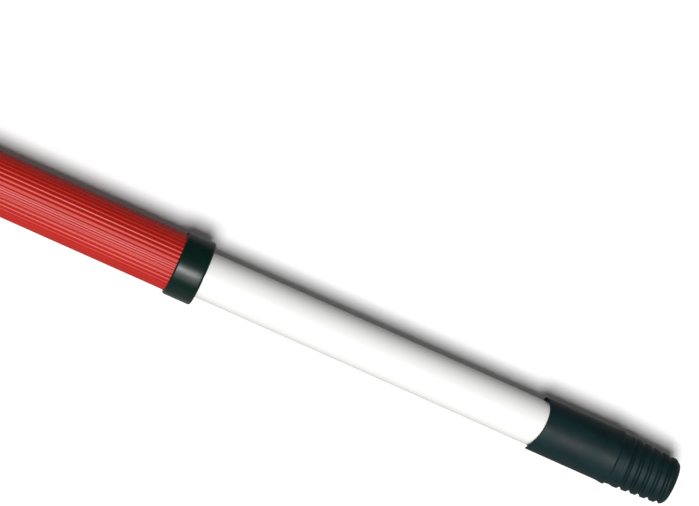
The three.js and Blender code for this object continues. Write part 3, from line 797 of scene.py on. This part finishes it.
class MakeGrip(bpy.types.Operator):
    """Makes the octagonal handle with its hanging slot, domed butt and scooped mouth"""

    bl_idname = "roller_pole.grip"
    bl_label = "Handle grip"

    def execute(self, context):
        sizes = context.scene.pole_grip
        butt, mouth = GRIP[0].x, GRIP[1].x
        half = GRIP[1].y
        ring = octagon(half, sizes.corner)
        around = len(ring)
        corner_radius = half / math.cos(math.pi / 8)
        slot_end = sizes.slot_start + sizes.slot_length
        tube_floor = slot_end + sizes.web
        tube_bore = OUTER_TUBE[1].y + PRESS_GAP
        cover_floor = COVER[0].x - BUTT_GAP
        cover_bore = COVER[1].y + BUTT_GAP

        sections = []
        for step in range(DOME_STEPS + 1):
            turn = math.pi / 2 * step / DOME_STEPS
            x = butt + sizes.butt_dome * (1 - math.cos(turn))
            sections.append((x, sizes.butt_flat + (corner_radius - sizes.butt_flat) * math.sin(turn)))
        rows, fade, rise = 4, 0.6 * MM, 0.9 * MM  # of the dome past its rim
        for step in range(1, rows + 1):
            x = butt + sizes.butt_dome + step * fade
            sections.append((x, corner_radius + step * rise))
        first, spacing, last = butt + 12 * MM, 8 * MM, mouth - 6 * MM
        stations = [first + step * spacing for step in range(10)] + [last]
        sections += [(x, 2 * corner_radius) for x in stations]

        blend = 0.25 * MM
        vertices = [(butt, 0, 0)]
        for x, dome in sections:
            for point in ring:
                radius = soft_minimum(point.length, dome, blend)
                vertices.append((x, *(point.normalized() * radius)))
        for share in (0.5, 1):
            for point in ring:
                x = mouth - scoop(point.x, sizes.mouth_scoop, sizes.mouth_scoop, half)
                vertices.append((last + (x - last) * share, *point))
        inner = [
            (mouth, cover_bore),
            (cover_floor, cover_bore),
            (cover_floor, tube_bore),
            (tube_floor, tube_bore),
        ]
        for x, radius in inner:
            for point in ring:
                place = point.normalized() * radius
                back = scoop(place.x, sizes.mouth_scoop, sizes.mouth_scoop, half) if x == mouth else 0
                vertices.append((x - back, *place))
        vertices.append((tube_floor, 0, 0))

        rings = (len(vertices) - 2) // around
        faces = []
        for i in range(around):
            j = (i + 1) % around
            faces.append([0, 1 + i, 1 + j])
            for row in range(rings - 1):
                a, b = 1 + row * around, 1 + (row + 1) * around
                faces.append([a + i, b + i, b + j, a + j])
            end = 1 + (rings - 1) * around
            faces.append([end + j, end + i, len(vertices) - 1])
        grip = new_piece("handle_grip_moulding", vertices, faces)

        past = 2 * half
        start = butt + sizes.slot_start
        through = start + sizes.ledge_length
        ledge = sizes.ledge_height - half
        cutters = [
            slot_cutter("slot", sizes, start, butt + slot_end, ledge, past),
            slot_cutter("slot_through", sizes, through, butt + slot_end, -past, past),
        ]
        for screw in SCREWS:
            middle, head = along_pole(screw)
            top = Vector((middle, 0, past))
            seat = Vector((middle, 0, screw[1].z - SCREW_HEAD_HEIGHT - PRESS_GAP))
            inside = Vector((middle, 0, tube_bore - MM))
            cutters.append(rod("head_hole", seat, top, head + PRESS_GAP))
            cutters.append(rod("shank_hole", inside, top, SCREW_SHANK_RADIUS + PRESS_GAP))
        carve(grip, *cutters)
        bevel = grip.modifiers.new("edges", "BEVEL")
        bevel.width = sizes.edge
        bevel.segments = 3
        bevel.limit_method = "ANGLE"
        bevel.angle_limit = math.radians(50)
        bevel.use_clamp_overlap = False
        applied(grip)
        tidy_mesh(grip.data)
        material = moulded_black_polypropylene(sizes.black)
        finished(grip, material, "outer_section", "black_grip", "handle_grip")
        return {"FINISHED"}


class MakeScrews(bpy.types.Operator):
    """Makes the two small sunk screws of the handle"""

    bl_idname = "roller_pole.screws"
    bl_label = "Grip screws"

    def execute(self, context):
        (low, high), (_, far_high) = SCREWS
        middle, head = along_pole(SCREWS[0])
        depth = high.z - low.z
        head_height = SCREW_HEAD_HEIGHT
        shank = SCREW_SHANK_RADIUS
        crown, flat = 0.35 * MM, head * 0.45
        seat_edge, rim_edge, top_edge = 0.15 * MM, 0.3 * MM, 0.4 * MM
        outline = filleted(
            [
                (-depth, 0, 0),
                (shank - depth, shank, 0),
                (-head_height, shank, 0),
                (-head_height, head, seat_edge),
                (-crown, head, rim_edge),
                (0, flat, top_edge),
                (0, 0, 0),
            ]
        )
        screw = turned("grip_screws", outline, SCREW_ROUND)
        upright = Matrix.Rotation(-math.pi / 2, 4, "Y")
        screw.data.transform(upright)
        recess, reach, narrowing = head_height / 2, head * 0.62, 0.28
        for turn in (0, math.pi / 2):
            bar = rod("recess", Vector((0, 0, -recess)), Vector((0, 0, recess)), reach, around=4)
            bar.data.transform(Matrix.Rotation(turn, 4, "Z") @ Matrix.Diagonal((1, narrowing, 1, 1)))
            carve(screw, bar)
        spacing = far_high.x - high.x
        values = {"Count": 2, "First": middle, "Spacing": spacing, "Height": high.z}
        material = black_zinc_plate()
        grown(screw, screws_tree(), material, values)
        finished(screw, material, "outer_section", "zinc_steel", "grip_screw_rear", "grip_screw_front")
        return {"FINISHED"}


class MakeCollar(bpy.types.Operator):
    """Makes the gloss ring over the mouth of the outer tube"""

    bl_idname = "roller_pole.collar"
    bl_label = "Collar"

    def execute(self, context):
        sizes = context.scene.pole_collar
        start, end = COLLAR[0].x, COLLAR[1].x
        outer = COLLAR[1].y
        cover_seat = COVER[1].y + SLIDE_GAP
        tube_seat = OUTER_TUBE[1].y + PRESS_GAP
        lip_bore = TUBE[1].y + 2 * SLIDE_GAP
        step = start + sizes.cover_inside + BUTT_GAP
        lip = end - sizes.lip
        rear_edge, front_edge, inner_edge = 0.2 * MM, 0.5 * MM, 0.15 * MM
        outer_rear_edge = sizes.edge * 0.7
        corners = [
            (start, cover_seat, rear_edge),
            (start, outer, outer_rear_edge),
            (end, outer, sizes.edge),
            (end, lip_bore, front_edge),
            (lip, lip_bore, inner_edge),
            (lip, tube_seat, 0),
            (step, tube_seat, 0),
            (step, cover_seat, 0),
        ]
        collar = turned("collar_ring", stepped(filleted(corners), RING_STRIDE), FINE_ROUND)
        finished(collar, polished_black_abs(sizes.black), "outer_section", "black_collar", "collar")
        return {"FINISHED"}


class MakeInnerTube(bpy.types.Operator):
    """Makes the white inner tube with its rivet and pin holes"""

    bl_idname = "roller_pole.inner_tube"
    bl_label = "Inner tube"

    def execute(self, context):
        sizes = context.scene.pole_tube
        start, end = TUBE[0].x, TUBE[1].x
        radius = TUBE[1].y
        bore = radius - sizes.wall
        edge = sizes.wall / 4
        corners = [(start, bore, edge), (start, radius, edge), (end, radius, edge), (end, bore, edge)]
        tube = turned("inner_tube_painted", stepped(filleted(corners), TUBE_STRIDE))
        pin, pin_radius = along_pole(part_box("lock_cross_pin"))
        rivet, _ = along_pole(RIVET)
        hole = pin_radius + PRESS_GAP
        across = Vector((0, 2 * radius, 0))
        carve(
            tube,
            rod("pin_hole", Vector((pin, 0, 0)) - across, Vector((pin, 0, 0)) + across, hole),
            rod("rivet_hole", Vector((rivet, 0, -2 * radius)), Vector((rivet, 0, 0)), hole),
        )
        tidy_mesh(tube.data)
        finished(tube, gloss_white_enamel(sizes.white), "inner_section", "white_paint", "inner_tube")
        return {"FINISHED"}


class MakeTip(bpy.types.Operator):
    """Makes the threaded tip with its scooped sleeve"""

    bl_idname = "roller_pole.tip"
    bl_label = "Threaded tip"

    def execute(self, context):
        sizes = context.scene.pole_tip
        mouth, nose = TIP[0].x, TIP[1].x
        shoulder = mouth + sizes.sleeve
        thread_length = nose - shoulder
        flared = TIP[1].y
        sleeve = TUBE[1].y + PRESS_GAP + sizes.wall
        last_crest = sleeve - sizes.taper
        hollow = last_crest - sizes.depth - sizes.root_wall
        floor = nose - sizes.nose_wall
        seat = mouth + sizes.tube_inside + BUTT_GAP
        bore = TUBE[1].y + PRESS_GAP
        hollow_bend, foot_bend, flare_bend = 0.6 * MM, 0.3 * MM, 20 * MM
        mouth_inner_edge, mouth_outer_edge = 0.12 * MM, 0.35 * MM
        inside = [(floor, 0, 0), (floor, hollow, hollow_bend), (seat, hollow, 0), (seat, bore, 0)]
        outside = [
            (mouth, bore, mouth_inner_edge),
            (mouth, sleeve, mouth_outer_edge),
            (shoulder - sizes.flare_length, sleeve, flare_bend),
            (shoulder, flared, sizes.shoulder_edge),
            (shoulder, sleeve - sizes.relief, foot_bend),
        ]
        core = [(shoulder + x, radius, 0) for x, radius in self.core(sizes, sleeve, thread_length)]
        corners = filleted([*inside, *outside, *core, (nose, 0, 0)])
        outline = stepped(corners, RING_STRIDE, closed=False)
        tip = turned("threaded_tip_moulding", outline, FINE_ROUND)
        self.scoop_mouth(tip.data, mouth, sizes, sleeve)
        material = moulded_black_nylon(sizes.black)
        values = {
            "Start": shoulder,
            "Length": thread_length,
            "Pitch": sizes.pitch,
            "Depth": sizes.depth,
            "Phase": sizes.phase,
            "Plain start": sizes.relief_end,
            "Nose rounding": sizes.nose_rounding,
            "Land": sizes.land,
            "Flank": sizes.flank,
            "Core radius": (hollow + last_crest) / 2,
        }
        grown(tip, thread_tree(), material, values)
        rivet, _ = along_pole(RIVET)
        outside, axis = Vector((rivet, 0, -2 * sleeve)), Vector((rivet, 0, 0))
        carve(tip, rod("rivet_hole", outside, axis, RIVET_SHANK_RADIUS + PRESS_GAP))
        tidy_mesh(tip.data)
        finished(tip, material, "inner_section", "black_tip", "threaded_tip")
        return {"FINISHED"}

    def core(self, sizes, sleeve, length):
        """Radius along the core that the thread is cut in, from its band to its rounded nose."""
        rounding = sizes.nose_rounding
        plain = length - rounding
        rows = math.ceil(plain / THREAD_STRIDE)
        places = [(plain * row / rows, 0) for row in range(2, rows)]
        for step in range(NOSE_STEPS + 1):
            turn = math.pi / 2 * step / NOSE_STEPS
            places.append((plain + rounding * math.sin(turn), rounding * (1 - math.cos(turn))))
        points = []
        for along, rounded in places:
            share = (along - sizes.relief_full) / (sizes.relief_end - sizes.relief_full)
            share = min(1, max(0, share))
            relief = sizes.relief * (1 - share * share * (3 - 2 * share))
            points.append((along, sleeve - sizes.taper * along / length - relief - rounded))
        return points

    def scoop_mouth(self, mesh, mouth, sizes, half_width):
        """Pulls the middle of the sleeve's mouth back, less and less up the sleeve."""
        reach = 12 * MM
        for vertex in mesh.vertices:
            share = 1 - (vertex.co.x - mouth) / reach
            if share > 0:
                back = scoop(vertex.co.y, sizes.mouth_along, sizes.mouth_across, half_width)
                vertex.co.x += back * share
        mesh.update()


class MakeRivet(bpy.types.Operator):
    """Makes the domed rivet under the tip's sleeve"""

    bl_idname = "roller_pole.rivet"
    bl_label = "Tip rivet"

    def execute(self, context):
        low, high = RIVET
        middle, head = along_pole(RIVET)
        head_height = RIVET_HEAD_HEIGHT
        length = high.z - low.z
        shank = RIVET_SHANK_RADIUS
        dome, rim, steps, end_edge = head_height * 0.85, head_height * 0.9, 9, 0.2 * MM
        outline = [Vector((0, 0))]
        for step in range(1, steps):
            turn = math.pi / 2 * step / steps
            outline.append(Vector((dome * (1 - math.cos(turn)), head * math.sin(turn))))
        outline += filleted(
            [
                (rim, head, 0),
                (head_height, head, 0),
                (head_height, shank, 0),
                (length, shank, end_edge),
                (length, 0, 0),
            ]
        )
        rivet = turned("tip_rivet_dome", outline, SMALL_ROUND)
        place = Matrix.Translation((middle, 0, low.z)) @ Matrix.Rotation(-math.pi / 2, 4, "Y")
        rivet.data.transform(place)
        finished(rivet, bright_zinc_plate(), "inner_section", "zinc_steel", "tip_rivet")
        return {"FINISHED"}


class FinishInsides(bpy.types.Operator):
    """Gives the plain inner pieces of the pole and its twist lock their finishes"""

    bl_idname = "roller_pole.insides"
    bl_label = "Inner pieces"

    def execute(self, context):
        grey = moulded_plain_nylon("moulded_grey_nylon", "8f8e88", "a8a7a0")
        natural = moulded_plain_nylon("moulded_natural_nylon", "d8d3c4", "e9e5d8")
        zinc = bright_zinc_plate()
        finishes = {
            drawn_galvanised_steel(): ["outer_tube"],
            grey: ["tube_end_plug", "lock_plug"],
            natural: ["guide_bush", "guide_ring", "lock_cam"],
            nitrile_rubber(): ["drag_ring"],
            zinc: ["lock_cross_pin", "lock_spindle", "thrust_washer", "lock_washer", "lock_screw"],
        }
        for material, names in finishes.items():
            for name in names:
                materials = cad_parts[name].data.materials
                materials.clear()
                materials.append(material)
        return {"FINISHED"}


class MakeStage(bpy.types.Operator):
    """Makes the pale floor, the soft light and the camera"""

    bl_idname = "roller_pole.stage"
    bl_label = "Stage"

    def execute(self, context):
        sizes = context.scene.pole_stage
        self.make_floor(sizes)
        high, low = math.radians(62), math.radians(46)
        narrow, wide = 6, 11
        self.make_softbox("high_softbox", sizes.key, high, narrow)
        self.make_softbox("low_softbox", sizes.side, low, wide)
        self.make_sky(context.scene, sizes)
        self.make_camera(context.scene, sizes)
        context.scene.view_settings.view_transform = "Standard"
        return {"FINISHED"}

    def make_floor(self, sizes):
        half = 6
        gap = 0.2 * MM
        height = cad_box[0].z - gap
        mesh = bpy.data.meshes.new("studio_floor")
        corners = [(-half, -half), (half, -half), (half, half), (-half, half)]
        mesh.from_pydata([(x, y, height) for x, y in corners], [], [(0, 1, 2, 3)])
        floor = placed("studio_floor", mesh)
        material, tree, _ = new_material("matt_white_board")
        seen = add(tree, "ShaderNodeLightPath").outputs["Is Camera Ray"]
        colour = shades(tree, seen, scaled_colour(sizes.floor, sizes.bounce), sizes.floor)
        surface(tree, {"Base Color": colour, "Roughness": 0.9, "Specular IOR Level": 0.2})
        mesh.materials.append(material)

    def make_softbox(self, name, power, elevation, size):
        """A square softbox on the -Y side, far off, so that its light falls off slowly."""
        distance = 20
        light = bpy.data.lights.new(name, "AREA")
        light.shape = "SQUARE"
        light.size = size
        light.energy = power
        softbox = placed(name, light)
        before_end = 100 * MM
        aim = Vector((TUBE[1].x - before_end, 0, 0))
        softbox.location = aim + distance * Vector((0, -math.cos(elevation), math.sin(elevation)))
        softbox.rotation_mode = "QUATERNION"
        softbox.rotation_quaternion = (aim - softbox.location).to_track_quat("-Z", "Y")

    def make_sky(self, scene, sizes):
        sky = bpy.data.worlds.new("studio_sky")
        sky.use_nodes = True
        tree = sky.node_tree
        tree.nodes.clear()
        seen = add(tree, "ShaderNodeLightPath").outputs["Is Camera Ray"]
        strength = maths(tree, "MULTIPLY_ADD", seen, 1 - sizes.fill, sizes.fill)
        background = add(tree, "ShaderNodeBackground", {"Color": (1, 1, 1, 1), "Strength": strength})
        add(tree, "ShaderNodeOutputWorld", {"Surface": background.outputs["Background"]})
        scene.world = sky

    def make_camera(self, scene, sizes):
        lens = bpy.data.cameras.new("camera")
        lens.lens = sizes.lens
        lens.clip_start = 0.05
        camera = placed("camera", lens)
        lean, recede, roll = sizes.lean, sizes.recede, sizes.roll
        up = Vector((0, -math.sin(lean), math.cos(lean)))
        back = Vector((-math.sin(recede), 0, 0)) + up * math.cos(recede)
        along = (Vector((1, 0, 0)) - back * back.x).normalized()
        beside = back.cross(along)
        right = along * math.cos(roll) + beside * math.sin(roll)
        top = beside * math.cos(roll) - along * math.sin(roll)
        past_collar, beside_axis = 58.1 * MM, 37.45 * MM
        aim = Vector((COLLAR[1].x + past_collar, beside_axis, 0))
        camera.rotation_mode = "QUATERNION"
        camera.rotation_quaternion = Matrix((right, top, back)).transposed().to_quaternion()
        camera.location = aim + back * sizes.distance
        scene.camera = camera


STEPS = (
    MakeCover,
    MakeGrip,
    MakeScrews,
    MakeCollar,
    MakeInnerTube,
    MakeTip,
    MakeRivet,
    FinishInsides,
    MakeStage,
)


class PolePanel(bpy.types.Panel):
    """Lists the steps that build the pole"""

    bl_idname = "VIEW3D_PT_roller_pole"
    bl_label = "Roller pole"
    bl_space_type = "VIEW_3D"
    bl_region_type = "UI"
    bl_category = "Roller Pole"

    def draw(self, context):
        for step in STEPS:
            self.layout.operator(step.bl_idname)


def register():
    for name, group in SETTINGS.items():
        bpy.utils.register_class(group)
        setattr(bpy.types.Scene, name, PointerProperty(type=group))
    for step in (*STEPS, PolePanel):
        bpy.utils.register_class(step)


def unregister():
    for step in (PolePanel, *reversed(STEPS)):
        bpy.utils.unregister_class(step)
    for name, group in SETTINGS.items():
        delattr(bpy.types.Scene, name)
        bpy.utils.unregister_class(group)


def main():
    register()
    bpy.ops.roller_pole.cover()
    bpy.ops.roller_pole.grip()
    bpy.ops.roller_pole.screws()
    bpy.ops.roller_pole.collar()
    bpy.ops.roller_pole.inner_tube()
    bpy.ops.roller_pole.tip()
    bpy.ops.roller_pole.rivet()
    bpy.ops.roller_pole.insides()
    bpy.ops.roller_pole.stage()


if __name__ == "__main__":
    main()
